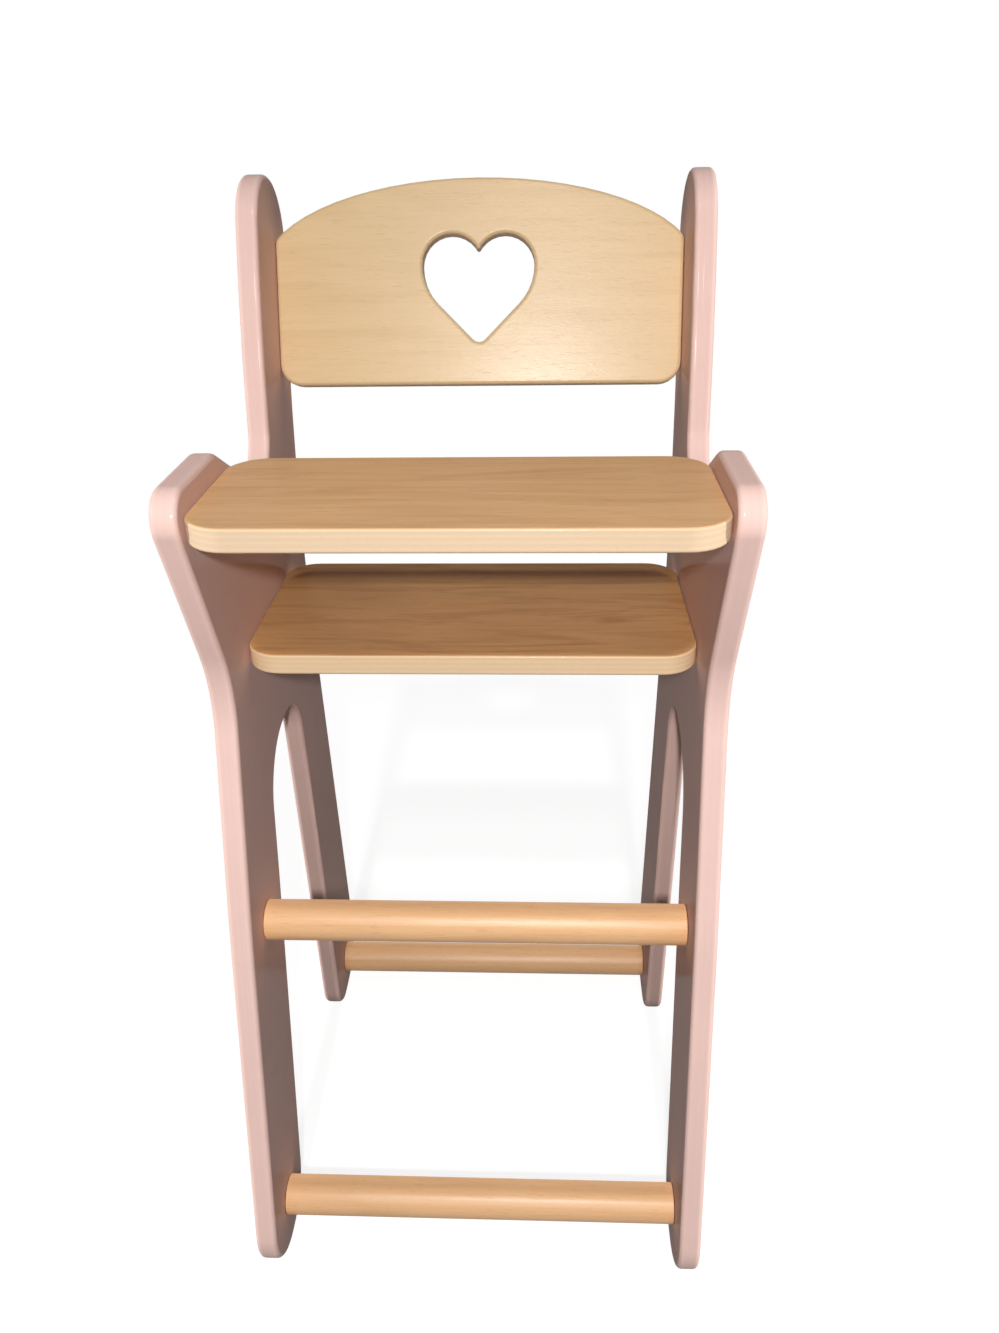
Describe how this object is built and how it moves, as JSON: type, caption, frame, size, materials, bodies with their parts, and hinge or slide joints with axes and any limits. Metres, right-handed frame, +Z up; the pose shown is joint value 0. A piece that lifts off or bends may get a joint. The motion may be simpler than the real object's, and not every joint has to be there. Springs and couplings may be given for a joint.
{
  "type": "doll high chair",
  "caption": "Toy high chair for dolls: shaped one-piece side panels joined by a seat, a tray, a leaning backrest with a heart cut-out and round rails.",
  "frame": {"origin": "on the floor, in the middle of the chair's width and depth", "axes": "+Z up, -Y towards the front of the chair, +X on the right of someone who looks at its front"},
  "size_m": [0.23, 0.2666, 0.519],
  "materials": {
    "panel_paint": "pink satin paint on wood board",
    "board_wood": "pale wood with fine grain, clear satin lacquer",
    "dowel_wood": "pale round rod, clear satin lacquer",
    "screw_steel": "zinc plated"
  },
  "bodies": {
    "root": {"left_side_panel": "panel_paint", "right_side_panel": "panel_paint", "backrest": "board_wood", "tray": "board_wood", "seat": "board_wood", "footrest_dowel": "dowel_wood", "front_dowel": "dowel_wood", "rear_dowel": "dowel_wood", "screw_tray_left_front": "screw_steel", "screw_tray_left_rear": "screw_steel", "screw_tray_right_front": "screw_steel", "screw_tray_right_rear": "screw_steel", "screw_seat_left_front": "screw_steel", "screw_seat_left_rear": "screw_steel", "screw_seat_right_front": "screw_steel", "screw_seat_right_rear": "screw_steel", "screw_backrest_left_lower": "screw_steel", "screw_backrest_left_upper": "screw_steel", "screw_backrest_right_lower": "screw_steel", "screw_backrest_right_upper": "screw_steel", "screw_footrest_dowel_left": "screw_steel", "screw_footrest_dowel_right": "screw_steel", "screw_front_dowel_left": "screw_steel", "screw_front_dowel_right": "screw_steel", "screw_rear_dowel_left": "screw_steel", "screw_rear_dowel_right": "screw_steel"}
  },
  "joints": []
}
